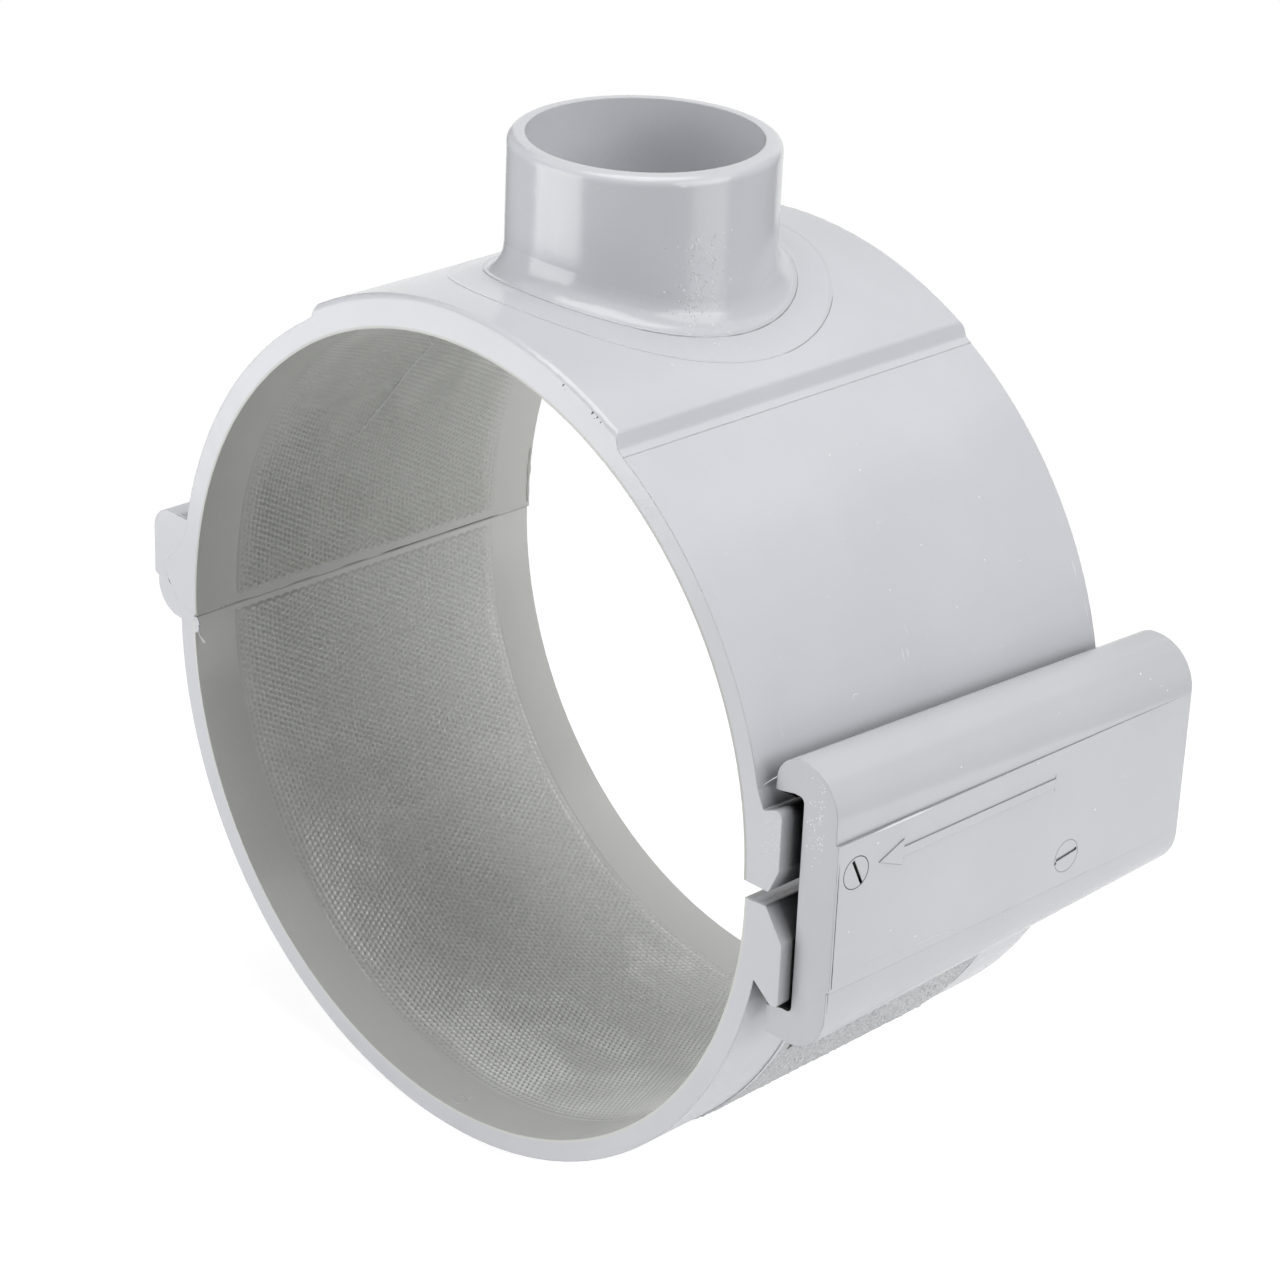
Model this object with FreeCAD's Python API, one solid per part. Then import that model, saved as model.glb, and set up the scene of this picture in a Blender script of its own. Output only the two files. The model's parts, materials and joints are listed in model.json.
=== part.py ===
import FreeCAD, Part
import math
import os

# Clamp-on tapping saddle for a 168.3 mm pipe, with a 48.3 mm slip outlet.
# Millimetres. Origin on the pipe axis at mid length, +Y along the pipe away from the wide end of
# the wedge, +X towards the wedge and +Z up the outlet.

# Pipe and shells
PIPE_RADIUS = 84.14
PIPE_CLEARANCE = 0.16
SADDLE_LENGTH = 98.7
UPPER_WALL = 4.87
LOWER_WALL = 4.75
LOWER_BORE_EXTRA = 0.6
LOWER_DROP = 4.2
LOWER_DRAFT = 1.25

# Reinforcing pad under the outlet
PAD_RISE = 2.23
PAD_HALF_ANGLE = 29.0
PAD_STEP_RUN = 2.4
PAD_LEDGE = 1.8
PAD_LEDGE_RISE = 0.12
PAD_EDGE_ROUND = 1.4
PAD_FOOT_ROUND = 1.2

# Outlet
OUTLET_PIPE_RADIUS = 24.13
SOCKET_CLEARANCE = 0.07
SOCKET_DEPTH = 28.0
OUTLET_WALL = 3.6
OUTLET_HEIGHT = 26.67
OUTLET_Y = -0.6
OUTLET_RIM_ROUND = 2.0
OUTLET_BASE_ROUND = 6.0
TAP_HOLE_RADIUS = 20.5

# Seal in the bore round the tap hole
SEAL_INNER_RADIUS = 25.6
SEAL_WIDTH = 3.6
SEAL_DEPTH = 3.0
SEAL_SIDE_CLEARANCE = 0.15
SEAL_SETBACK = 0.1

# Lugs that the wedge draws together
LUG_GAP = 3.2
UPPER_LUG_BOTTOM = 1.0
UPPER_LUG_REACH = 4.05
UPPER_LUG_HEIGHT = 18.6
LOWER_LUG_REACH = 5.45
LOWER_LUG_HEIGHT = 22.3
LUG_CHAMFER_WIDTH = 2.4
LUG_CHAMFER_HEIGHT = 5.3
LOWER_CHAMFER_WIDTH = 4.6
LOWER_CHAMFER_HEIGHT = 6.6
UPPER_RIM_SLOPE = 24.0
LOWER_TIP_SLOPE = 38.0
RIM_ROUND = 1.5
EDGE_ROUND = 0.8
GROOVE_ROUND = 0.4
LOWER_END_DROP = 0.4
GROOVE_WALL_HEIGHT = 4.2
GROOVE_WALL_SINK = 0.1
UPPER_TAPER = 2.30
LOWER_TAPER = 2.75

# Locking wedge
WEDGE_FRONT_SETBACK = 2.84
WEDGE_LENGTH = 104.5
WEDGE_BACK = 9.4
WEDGE_FACE_CLEARANCE = 0.9
WEDGE_HOOK_CLEARANCE = 0.4
UPPER_HOOK_THICKNESS = 7.4
LOWER_HOOK_THICKNESS = 6.8
UPPER_HOOK_RELIEF = 3.9
LOWER_HOOK_RELIEF = 3.2
WEDGE_CORNER_ROUND = 9.6
HOOK_TIP_ROUND = 1.2
HOOK_CROWN_FLAT = 0.2
SLOT_CORNER_SLANT = 2.6
SLOT_CORNER_ROUND = 1.3
SLOT_EDGE_ROUND = 1.0
BARB_ROUND = 0.5
MOUTH_LIP = 0.8
UPPER_BARB_INSET = 0.4
LOWER_BARB_INSET = 0.7
HOOK_TIP_WIDTH = 0.9
LEAD_IN_LENGTH = 5.0
PANEL_RISE = 0.7
PANEL_TOP = 15.6
PANEL_BOTTOM = -16.0

# Marks on the wedge's outer face: an arrow that points to its wide end, and two slotted pins
ARROW_Z = 8.6
ARROW_TIP = -35.0
ARROW_NECK = -28.2
ARROW_END = 16.1
ARROW_HEAD_WIDTH = 5.6
ARROW_SHAFT_WIDTH = 2.1
ARROW_RISE = 0.3
PIN_SLOT_LENGTH = 6.2
PIN_SLOT_WIDTH = 0.7
FRONT_PIN = (-40.8, 8.4)
FRONT_PIN_TURN = -64.0
FRONT_SLOT_DEPTH = 1.4
REAR_PIN = (22.0, -9.4)
REAR_PIN_TURN = 7.0
REAR_SLOT_DEPTH = 0.4

# Hooked hinge
TOOTH_TIP_Z = 4.0
TOOTH_REACH = 7.1
TOOTH_HEEL_REACH = 1.7
TOOTH_TOP = 12.6
TOOTH_BACK_RISE = 0.6
TOOTH_BOTTOM = -3.1
TOOTH_TIP_ROUND = 1.2
SEAM_Z = -4.5
SEAM_CLEARANCE = 0.6
NOSE_CLEARANCE = 1.0
HOOK_REACH = 9.75
HOOK_TOP = 17.6
HOOK_SIDE_BOTTOM = 1.5
HOOK_SIDE_STEP = 1.3
HOOK_BOTTOM = -6.8
HOOK_TOP_ROUND = 5.4
HOOK_BOTTOM_ROUND = 7.0
HOOK_NOSE_REACH = 1.8
HOOK_NOSE_HEIGHT = 4.3
HOOK_NOSE_ROUND = 1.0

# Raised panel on the lower half, left bare
LABEL_RISE = 0.25
LABEL_START_ANGLE = -25.5
LABEL_END_ANGLE = -61.0
LABEL_FRONT = -31.0
LABEL_REAR = 33.0

# Worked out from the values above
bore_radius = PIPE_RADIUS + PIPE_CLEARANCE
upper_outside = bore_radius + UPPER_WALL
pad_outside = upper_outside + PAD_RISE
lower_bore = bore_radius + LOWER_BORE_EXTRA
lower_outside = lower_bore + LOWER_WALL
front = -SADDLE_LENGTH / 2
rear = SADDLE_LENGTH / 2
far = 4 * bore_radius

socket_radius = OUTLET_PIPE_RADIUS + SOCKET_CLEARANCE
outlet_radius = socket_radius + OUTLET_WALL
outlet_top = pad_outside + OUTLET_HEIGHT

wedge_front = front + WEDGE_FRONT_SETBACK
wedge_rear = wedge_front + WEDGE_LENGTH
upper_lug_face = upper_outside + UPPER_LUG_REACH
lower_lug_face = lower_outside + LOWER_LUG_REACH
lower_lug_top = UPPER_LUG_BOTTOM - LUG_GAP
slot_back = lower_lug_face + WEDGE_FACE_CLEARANCE
wedge_face = slot_back + WEDGE_BACK

upper_barb_x = upper_outside + UPPER_BARB_INSET
lower_barb_x = lower_outside + LOWER_BARB_INSET
upper_hook_x = upper_barb_x - HOOK_TIP_WIDTH
lower_hook_x = lower_barb_x - HOOK_TIP_WIDTH
hook_crown_round = wedge_face - PANEL_RISE - upper_hook_x - WEDGE_CORNER_ROUND - HOOK_CROWN_FLAT


def along_y(radius, start, end, centre_z=0.0):
    """A solid cylinder on an axis parallel to the pipe."""
    base = FreeCAD.Vector(0, start, centre_z)
    return Part.makeCylinder(radius, end - start, base, FreeCAD.Vector(0, 1, 0))


def along_z(radius, bottom, top):
    """A solid cylinder on the outlet's axis."""
    return Part.makeCylinder(radius, top - bottom, FreeCAD.Vector(0, OUTLET_Y, bottom))


def box(x_range, y_range, z_range):
    corner = FreeCAD.Vector(x_range[0], y_range[0], z_range[0])
    width = x_range[1] - x_range[0]
    depth = y_range[1] - y_range[0]
    height = z_range[1] - z_range[0]
    return Part.makeBox(width, depth, height, corner)


def outline(corners, y):
    """A closed wire at y. Each corner is its x, its z and the radius that rounds it."""
    places = [FreeCAD.Vector(x, y, z) for x, z, radius in corners]
    arcs = []
    for index, corner in enumerate(places):
        radius = corners[index][2]
        to_last = (places[index - 1] - corner).normalize()
        to_next = (places[(index + 1) % len(places)] - corner).normalize()
        half_angle = to_last.getAngle(to_next) / 2
        setback = radius / math.tan(half_angle)
        middle = (to_last + to_next).normalize() * (radius / math.sin(half_angle) - radius)
        arcs.append((corner + to_last * setback, corner + middle, corner + to_next * setback))
    edges = []
    for index, (start, middle, end) in enumerate(arcs):
        if corners[index][2] > 0:
            edges.append(Part.Arc(start, middle, end).toShape())
        edges.append(Part.makeLine(end, arcs[(index + 1) % len(arcs)][0]))
    return Part.Wire(edges)


def prism(corners, start, end):
    """The outline carried straight along the pipe."""
    return Part.Face(outline(corners, start)).extrude(FreeCAD.Vector(0, end - start, 0))


def tapered(start_corners, start, end_corners, end):
    """A solid between two outlines that have the same corners."""
    return Part.makeLoft([outline(start_corners, start), outline(end_corners, end)], True, True)


def lower_skin(extra, start, end):
    """A solid of the lower half's drafted outside, grown by a skin of the given thickness."""
    taper = LOWER_DRAFT / SADDLE_LENGTH
    start_radius = lower_outside + extra - (start - front) * taper
    end_radius = lower_outside + extra - (end - front) * taper
    base = FreeCAD.Vector(0, start, -LOWER_DROP)
    return Part.makeCone(start_radius, end_radius, end - start, base, FreeCAD.Vector(0, 1, 0))


def polar(radius, degrees, centre_z=0.0):
    angle = math.radians(degrees)
    return radius * math.cos(angle), centre_z + radius * math.sin(angle)


def upper_fall(y):
    """How far the upper lug's rim and the wedge's upper hook are below their front end."""
    return (y - front) * math.tan(math.radians(UPPER_TAPER))


def lower_rise(y):
    """How far the lower lug's tip and the wedge's lower hook are above their front end."""
    return (y - front) * math.tan(math.radians(LOWER_TAPER))


def upper_rim(x, y):
    """Height of the sloping rim of the upper lug, which drops towards the ring."""
    drop = (upper_lug_face - x) * math.tan(math.radians(UPPER_RIM_SLOPE))
    return UPPER_LUG_BOTTOM + UPPER_LUG_HEIGHT - upper_fall(y) - drop


def lower_tip(x, y):
    """Height of the sloping tip of the lower lug, which rises towards the ring."""
    rise = (lower_lug_face - x) * math.tan(math.radians(LOWER_TIP_SLOPE))
    return lower_lug_top - LOWER_LUG_HEIGHT + lower_rise(y) + rise


def upper_lug():
    root = bore_radius + UPPER_WALL / 3
    groove = upper_outside - UPPER_WALL / 6

    def corners(y):
        wall_top = upper_rim(groove, y) + GROOVE_WALL_HEIGHT
        wall_foot = math.sqrt(upper_outside ** 2 - wall_top ** 2) - GROOVE_WALL_SINK
        return [
            (root, UPPER_LUG_BOTTOM, 0),
            (upper_lug_face - LUG_CHAMFER_WIDTH, UPPER_LUG_BOTTOM, EDGE_ROUND),
            (upper_lug_face, UPPER_LUG_BOTTOM + LUG_CHAMFER_HEIGHT, EDGE_ROUND),
            (upper_lug_face, upper_rim(upper_lug_face, y), RIM_ROUND),
            (groove, upper_rim(groove, y), GROOVE_ROUND),
            (wall_foot, wall_top, 0),
        ]

    return tapered(corners(front), front, corners(rear), rear)


def tooth_corners():
    """The tooth on the upper half, with the end of the ring that carries it."""
    tip_x = -(upper_outside + TOOTH_REACH)
    heel_x = -(upper_outside + TOOTH_HEEL_REACH)
    inside = -(bore_radius - PIPE_CLEARANCE)
    return [
        (inside, SEAM_Z, 0),
        (inside, TOOTH_TIP_Z, 0),
        (-(bore_radius + UPPER_WALL / 2), TOOTH_TOP, 0),
        (-(upper_outside - UPPER_WALL / 6), TOOTH_TOP + TOOTH_BACK_RISE, 0),
        (tip_x, TOOTH_TIP_Z, TOOTH_TIP_ROUND),
        (heel_x, TOOTH_BOTTOM, EDGE_ROUND),
    ]


def seal_ring(inner_radius, outer_radius, depth_start, depth_end):
    """A ring round the tap hole that follows the bore between two depths in the wall."""
    tube = along_z(outer_radius, 0, outlet_top)
    tube = tube.cut(along_z(inner_radius, 0, outlet_top))
    shell = along_y(bore_radius + depth_end, front, rear)
    return tube.common(shell.cut(along_y(bore_radius + depth_start, front, rear)))


def pad():
    """The thick strip under the outlet, with rounded edges and a thin ledge along its foot."""
    crest_angle = 90 - PAD_HALF_ANGLE
    foot_angle = crest_angle - math.degrees(PAD_STEP_RUN / upper_outside)
    ledge_angle = foot_angle - math.degrees(PAD_LEDGE / upper_outside)
    core = bore_radius + UPPER_WALL / 2
    ledge = upper_outside + PAD_LEDGE_RISE
    right_side = [
        polar(pad_outside, crest_angle),
        polar(ledge, foot_angle),
        polar(ledge, ledge_angle),
        polar(core, ledge_angle),
    ]
    left_side = [(-x, z) for x, z in right_side]

    def at_front(point):
        return FreeCAD.Vector(point[0], front, point[1])

    def side(points):
        ends = [at_front(point) for point in points]
        return [Part.makeLine(start, end) for start, end in zip(ends, ends[1:])]

    crown = Part.Arc(at_front(left_side[0]), at_front((0, pad_outside)), at_front(right_side[0]))
    inner = Part.Arc(at_front(right_side[-1]), at_front((0, core)), at_front(left_side[-1]))
    edges = [crown.toShape(), *side(right_side), inner.toShape(), *side(left_side[::-1])]
    solid = Part.Face(Part.Wire(edges)).extrude(FreeCAD.Vector(0, SADDLE_LENGTH, 0))
    solid = solid.makeFillet(PAD_EDGE_ROUND, [edge for edge in solid.Edges if is_pad_rim(edge)])
    feet = [edge for edge in solid.Edges if is_pad_foot(edge, foot_angle)]
    return solid.makeFillet(PAD_FOOT_ROUND, feet)


def is_pad_rim(edge):
    """True for the edges round the pad's crown, at its ends and along its sides."""
    points = [vertex.Point for vertex in edge.Vertexes]
    return all(abs(math.hypot(point.x, point.z) - pad_outside) < 0.01 for point in points)


def is_pad_foot(edge, foot_angle):
    """True for the two long edges where the pad's sides meet the ledge."""
    x, z = polar(upper_outside + PAD_LEDGE_RISE, foot_angle)
    points = [vertex.Point for vertex in edge.Vertexes]
    at_foot = all(abs(abs(point.x) - x) < 0.01 and abs(point.z - z) < 0.01 for point in points)
    return at_foot and edge.Length > SADDLE_LENGTH / 2


def outlet():
    """The outlet's outside, with its rim rounded, down to the middle of the wall all round."""
    wall_middle = bore_radius + UPPER_WALL / 2
    bottom = math.sqrt(wall_middle ** 2 - outlet_radius ** 2)
    stub = along_z(outlet_radius, bottom, outlet_top)
    rim = [edge for edge in stub.Edges if abs(edge.BoundBox.ZMin - outlet_top) < 0.01]
    return stub.makeFillet(OUTLET_RIM_ROUND, rim).cut(along_y(wall_middle, front, rear))


def is_outlet_foot(edge):
    """True for the curve where the outlet's outside meets the pad."""
    middle = edge.valueAt((edge.FirstParameter + edge.LastParameter) / 2)
    from_axis = math.hypot(middle.x, middle.y - OUTLET_Y)
    near_pad = upper_outside / 2 < middle.z < pad_outside + 0.1
    return near_pad and abs(from_axis - outlet_radius) < 0.1


def upper_saddle():
    shell = along_y(upper_outside, front, rear)
    below_right = box((0, far), (front - 1, rear + 1), (-far, UPPER_LUG_BOTTOM))
    below_left = box((-far, 0), (front - 1, rear + 1), (-far, TOOTH_BOTTOM))
    shell = shell.cut(below_right).cut(below_left)
    body = shell.fuse([pad(), upper_lug(), prism(tooth_corners(), front, rear)])
    body = body.cut(along_y(bore_radius, front - 1, rear + 1))
    body = body.fuse(outlet()).removeSplitter()
    foot = [edge for edge in body.Edges if is_outlet_foot(edge)]
    body = body.makeFillet(OUTLET_BASE_ROUND, foot)
    socket_bottom = outlet_top - SOCKET_DEPTH
    body = body.cut(along_z(socket_radius, socket_bottom, outlet_top + 1))
    body = body.cut(along_z(TAP_HOLE_RADIUS, 0, outlet_top))
    groove_inner = SEAL_INNER_RADIUS - SEAL_SIDE_CLEARANCE
    groove_outer = SEAL_INNER_RADIUS + SEAL_WIDTH + SEAL_SIDE_CLEARANCE
    return body.cut(seal_ring(groove_inner, groove_outer, -1, SEAL_DEPTH))


def o_ring_seal():
    return seal_ring(SEAL_INNER_RADIUS, SEAL_INNER_RADIUS + SEAL_WIDTH, SEAL_SETBACK, SEAL_DEPTH)


def lower_lug():
    root = lower_bore + LOWER_WALL / 3
    notch = lower_outside - LOWER_WALL / 3

    def corners(y):
        return [
            (root, lower_lug_top - LOWER_END_DROP, 0),
            (lower_lug_face - LOWER_CHAMFER_WIDTH, lower_lug_top, EDGE_ROUND),
            (lower_lug_face, lower_lug_top - LOWER_CHAMFER_HEIGHT, EDGE_ROUND),
            (lower_lug_face, lower_tip(lower_lug_face, y), RIM_ROUND),
            (notch, lower_tip(notch, y), GROOVE_ROUND),
            (root, lower_tip(notch, y), 0),
        ]

    return tapered(corners(front), front, corners(rear), rear)


def hinge_hook():
    """The hook on the lower half that wraps round the tooth."""
    side = -(upper_outside + HOOK_REACH)
    root = -(lower_bore + LOWER_WALL / 2)
    nose = -(upper_outside + HOOK_NOSE_REACH)
    block = prism([
        (root, HOOK_BOTTOM, 0),
        (root, HOOK_TOP - HOOK_NOSE_HEIGHT, 0),
        (nose, HOOK_TOP, HOOK_NOSE_ROUND),
        (side, HOOK_TOP, HOOK_TOP_ROUND),
        (side, HOOK_SIDE_BOTTOM, 0),
        (side + HOOK_SIDE_STEP, HOOK_SIDE_BOTTOM - HOOK_SIDE_STEP / 2, 0),
        (side + HOOK_SIDE_STEP, HOOK_BOTTOM, HOOK_BOTTOM_ROUND),
    ], front, rear)
    ring_room = along_y(upper_outside + NOSE_CLEARANCE, front, rear)
    ring_room = ring_room.common(box((-far, 0), (front, rear), (TOOTH_BOTTOM, far)))
    return block.cut(ring_room)


def tooth_room():
    """The space that the tooth needs in the hook, with its clearance all round."""
    grown = Part.Face(outline(tooth_corners(), front)).makeOffset2D(SEAM_CLEARANCE)
    return grown.extrude(FreeCAD.Vector(0, SADDLE_LENGTH, 0))


def label_panel():
    """The raised panel below the lower lug, bare of lettering."""
    plate = lower_skin(LABEL_RISE, LABEL_FRONT, LABEL_REAR)
    reach = 2 * lower_outside
    start = polar(reach, LABEL_START_ANGLE, -LOWER_DROP)
    end = polar(reach, LABEL_END_ANGLE, -LOWER_DROP)
    sector = prism([(0, -LOWER_DROP, 0), (*start, 0), (*end, 0)], LABEL_FRONT, LABEL_REAR)
    return plate.cut(along_y(lower_outside - LOWER_WALL / 2, front, rear, -LOWER_DROP)).common(sector)


def lower_saddle():
    shell = lower_skin(0, front, rear)
    above_right = box((0, far), (front - 1, rear + 1), (lower_lug_top - LOWER_END_DROP, far))
    above_left = box((-far, 0), (front - 1, rear + 1), (TOOTH_BOTTOM, far))
    shell = shell.cut(above_right).cut(above_left)
    body = shell.fuse([lower_lug(), hinge_hook(), label_panel()])
    body = body.cut(along_y(lower_bore, front - 1, rear + 1, -LOWER_DROP))
    return body.cut(tooth_room()).removeSplitter()


def upper_barb(y):
    """Height of the tip that the wedge's upper hook drops into the groove behind the rim."""
    return upper_rim(upper_barb_x, y) + WEDGE_HOOK_CLEARANCE / math.cos(math.radians(UPPER_RIM_SLOPE))


def lower_barb(y):
    """Height of the tip that the wedge's lower hook raises into the notch behind the lug."""
    return lower_tip(lower_barb_x, y) - WEDGE_HOOK_CLEARANCE / math.cos(math.radians(LOWER_TIP_SLOPE))


def wedge_body_corners(y, face):
    """The wedge's outside at y, with its outer face at the given x."""
    top = upper_barb(y) + UPPER_HOOK_RELIEF + UPPER_HOOK_THICKNESS
    bottom = lower_barb(y) - LOWER_HOOK_RELIEF - LOWER_HOOK_THICKNESS
    return [
        (upper_hook_x, top, hook_crown_round),
        (face, top, WEDGE_CORNER_ROUND),
        (face, bottom, WEDGE_CORNER_ROUND),
        (lower_hook_x, bottom, HOOK_TIP_ROUND),
        (lower_hook_x, 0, 0),
        (upper_hook_x, 0, 0),
    ]


def slot_corners(y, mouth):
    """The wedge's slot at y. At the mouth the hooks have no barbs."""
    top = upper_barb(y) + UPPER_HOOK_RELIEF
    bottom = lower_barb(y) - LOWER_HOOK_RELIEF
    upper_tip = top - MOUTH_LIP if mouth else upper_barb(y)
    lower_tip_z = bottom - MOUTH_LIP if mouth else lower_barb(y)
    outside = bore_radius - UPPER_WALL
    relief_x = slot_back - SLOT_CORNER_SLANT
    return [
        (outside, upper_tip, 0),
        (upper_barb_x, upper_tip, BARB_ROUND),
        (relief_x, top, SLOT_EDGE_ROUND),
        (slot_back, top, SLOT_CORNER_ROUND),
        (slot_back, bottom, SLOT_CORNER_ROUND),
        (relief_x, bottom, SLOT_EDGE_ROUND),
        (lower_barb_x, lower_tip_z, BARB_ROUND),
        (outside, lower_tip_z, 0),
    ]


def facing_x(points, x, depth):
    """A solid whose outline is a list of y and z, carried from x by the given depth."""
    places = [FreeCAD.Vector(x, y, z) for y, z in points]
    return Part.Face(Part.makePolygon([*places, places[0]])).extrude(FreeCAD.Vector(depth, 0, 0))


def arrow():
    """The raised arrow on the wedge's outer face."""
    head = ARROW_HEAD_WIDTH / 2
    shaft = ARROW_SHAFT_WIDTH / 2
    upper_side = [(ARROW_TIP, 0), (ARROW_NECK, head), (ARROW_NECK, shaft), (ARROW_END, shaft)]
    lower_side = [(y, -offset) for y, offset in upper_side[:0:-1]]
    points = [(y, ARROW_Z + offset) for y, offset in upper_side + lower_side]
    return facing_x(points, slot_back, wedge_face + ARROW_RISE - slot_back)


def pin_slot(centre, turn, depth):
    """The slot in the end of a round pin, as long as the pin is wide."""
    half_length = PIN_SLOT_LENGTH / 2
    half_width = PIN_SLOT_WIDTH / 2
    y, z = centre
    points = [
        (y - half_length, z - half_width),
        (y + half_length, z - half_width),
        (y + half_length, z + half_width),
        (y - half_length, z + half_width),
    ]
    slot = facing_x(points, wedge_face + ARROW_RISE, -(ARROW_RISE + depth))
    slot.rotate(FreeCAD.Vector(0, y, z), FreeCAD.Vector(1, 0, 0), turn)
    return slot


def locking_wedge():
    body = tapered(
        wedge_body_corners(wedge_front, wedge_face - PANEL_RISE), wedge_front,
        wedge_body_corners(wedge_rear, wedge_face), wedge_rear,
    )
    panel = box((slot_back, wedge_face), (wedge_front, wedge_rear), (PANEL_BOTTOM, PANEL_TOP))
    slot = tapered(
        slot_corners(wedge_front, False), wedge_front,
        slot_corners(wedge_rear, False), wedge_rear,
    )
    lead_in_end = wedge_front + LEAD_IN_LENGTH
    lead_in = tapered(
        slot_corners(wedge_front, True), wedge_front,
        slot_corners(lead_in_end, False), lead_in_end,
    )
    body = body.fuse([panel, arrow()]).cut(slot).cut(lead_in)
    body = body.cut(pin_slot(FRONT_PIN, FRONT_PIN_TURN, FRONT_SLOT_DEPTH))
    return body.cut(pin_slot(REAR_PIN, REAR_PIN_TURN, REAR_SLOT_DEPTH)).removeSplitter()


def main():
    os.makedirs("parts", exist_ok=True)
    pieces = {
        "upper_saddle": upper_saddle(),
        "o_ring_seal": o_ring_seal(),
        "lower_saddle": lower_saddle(),
        "locking_wedge": locking_wedge(),
    }
    for node, shape in pieces.items():
        print(node, shape.isValid(), len(shape.Solids), round(shape.Volume), shape.BoundBox)
        shape.exportStep(f"parts/{node}.step")


main()
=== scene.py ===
from collections import Counter
import json
import math
import random

import bpy
from mathutils import Matrix, Vector, noise
from mathutils.bvhtree import BVHTree


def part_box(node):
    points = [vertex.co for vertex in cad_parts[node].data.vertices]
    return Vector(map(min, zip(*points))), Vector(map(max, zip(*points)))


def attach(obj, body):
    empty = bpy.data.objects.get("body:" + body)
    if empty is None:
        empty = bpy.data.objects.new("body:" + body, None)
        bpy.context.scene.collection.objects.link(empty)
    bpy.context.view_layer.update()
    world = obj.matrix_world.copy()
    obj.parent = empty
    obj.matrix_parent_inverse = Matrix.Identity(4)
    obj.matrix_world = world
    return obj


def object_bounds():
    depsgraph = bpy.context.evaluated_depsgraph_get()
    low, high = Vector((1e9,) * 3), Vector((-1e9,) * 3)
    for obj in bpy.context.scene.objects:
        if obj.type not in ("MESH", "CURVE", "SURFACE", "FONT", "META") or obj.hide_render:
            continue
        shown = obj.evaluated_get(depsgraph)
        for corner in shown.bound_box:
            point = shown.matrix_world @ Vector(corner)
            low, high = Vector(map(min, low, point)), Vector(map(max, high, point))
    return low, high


# Looks of the tapping saddle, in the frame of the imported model: +Y along the pipe, +X towards the
# wedge, +Z up the outlet. Angles are in degrees, and round the pipe they start at the wedge and
# rise over the outlet. Values are in metres, and lists of places say where they are in millimetres.

MM = 0.001

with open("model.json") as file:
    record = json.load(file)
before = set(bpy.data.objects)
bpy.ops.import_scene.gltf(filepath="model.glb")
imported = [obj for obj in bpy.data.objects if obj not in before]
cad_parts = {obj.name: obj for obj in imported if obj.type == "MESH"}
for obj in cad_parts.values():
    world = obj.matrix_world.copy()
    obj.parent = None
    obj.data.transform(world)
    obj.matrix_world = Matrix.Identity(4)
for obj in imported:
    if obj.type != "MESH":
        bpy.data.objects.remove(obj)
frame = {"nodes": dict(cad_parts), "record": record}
cad_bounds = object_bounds()

# Sizes taken from the frame
mounts = {mount["name"]: mount for mount in frame["record"]["mounts"]}
BORE_RADIUS = mounts["pipe_clamp"]["dims"]["r_mm"] * MM
OUTLET_Y = mounts["outlet_socket"]["pos_m"][1]
upper_low, upper_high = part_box("upper_saddle")
seal_low, seal_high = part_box("o_ring_seal")
FRONT_Y = upper_low[1]
REAR_Y = upper_high[1]
WEDGE_FRONT_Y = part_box("locking_wedge")[0][1]
SEAL_RADIUS = (seal_high[0] - seal_low[0]) / 2
FAR = 200 * MM

# The lower half's bore lies lower than the upper one, and is wider
LOWER_BORE_Z = -4.2 * MM
LOWER_BORE_RADIUS = BORE_RADIUS + 0.6 * MM

# Camera, as the photograph was taken
CAMERA_AZIMUTH = 45.007
CAMERA_ELEVATION = 25.155
CAMERA_ROLL = 2.513
CAMERA_DISTANCE = 827.28 * MM
CAMERA_LENS = 109.2
SENSOR_WIDTH = 36
CAMERA_CLIP = 20
AIM_RIGHT = 2.891 * MM
AIM_UP = 5.550 * MM

# Floor
FLOOR_RADIUS = 370 * MM
FLOOR_CLEAR_RADIUS = 140 * MM
FLOOR_WHITE_SHARE = 0.9
FLOOR_CORNERS = 96
FLOOR_COLOUR = (0.86, 0.86, 0.86, 1)
FLOOR_LIGHT = 0.20
FLOOR_GLOW = 0.86
SHADOW_COLOUR = (0.30, 0.30, 0.30, 1)

# Curtains, which darken what the gloss mirrors: first and last turn from the camera, and colour
CURTAIN_RADIUS = 1.6
CURTAIN_BOTTOM = -1.5
CURTAIN_TOP = 1.3
CURTAIN_STEPS = 48
CURTAINS = {
    "curtain_dark": (-52, 145, (0.07, 0.07, 0.07, 1)),
    "curtain_grey": (-165, -80, (0.35, 0.35, 0.35, 1)),
}

# Lamps: turn from the camera, elevation, width, height and power
LAMP_DISTANCE = 1.2
LAMPS = {
    "key_softbox": (-75, 3, 1.1, 1.25, 14.8),
    "top_softbox": (0, 90, 0.9, 0.9, 9.8),
    "window": (58, 5, 0.7, 1.0, 4.8),
    "window_top": (56, 32, 0.9, 0.7, 6.4),
}

# Colours
SHELL_COLOUR = (0.592, 0.598, 0.632)
WEDGE_COLOUR = (0.545, 0.551, 0.578)
BORE_COLOUR = (0.562, 0.568, 0.544)
# The lower bore's own greenish tint, painted lighter than the upper bore's as painted light from above
LOWER_BORE_LIT_COLOUR = (0.622, 0.628, 0.610)
LABEL_COLOUR = (0.45, 0.46, 0.47)
RUBBER_COLOUR = (0.020, 0.020, 0.021)
LIGHT_MARK_COLOUR = (0.80, 0.81, 0.82)
# Worn marks, and painted glints on pebbles and ripples
WORN_AND_GLINT_COLOUR = (0.70, 0.705, 0.73)
SHADE_MARK_COLOUR = (0.30, 0.30, 0.31)
DARK_MARK_COLOUR = (0.06, 0.06, 0.06)
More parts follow.
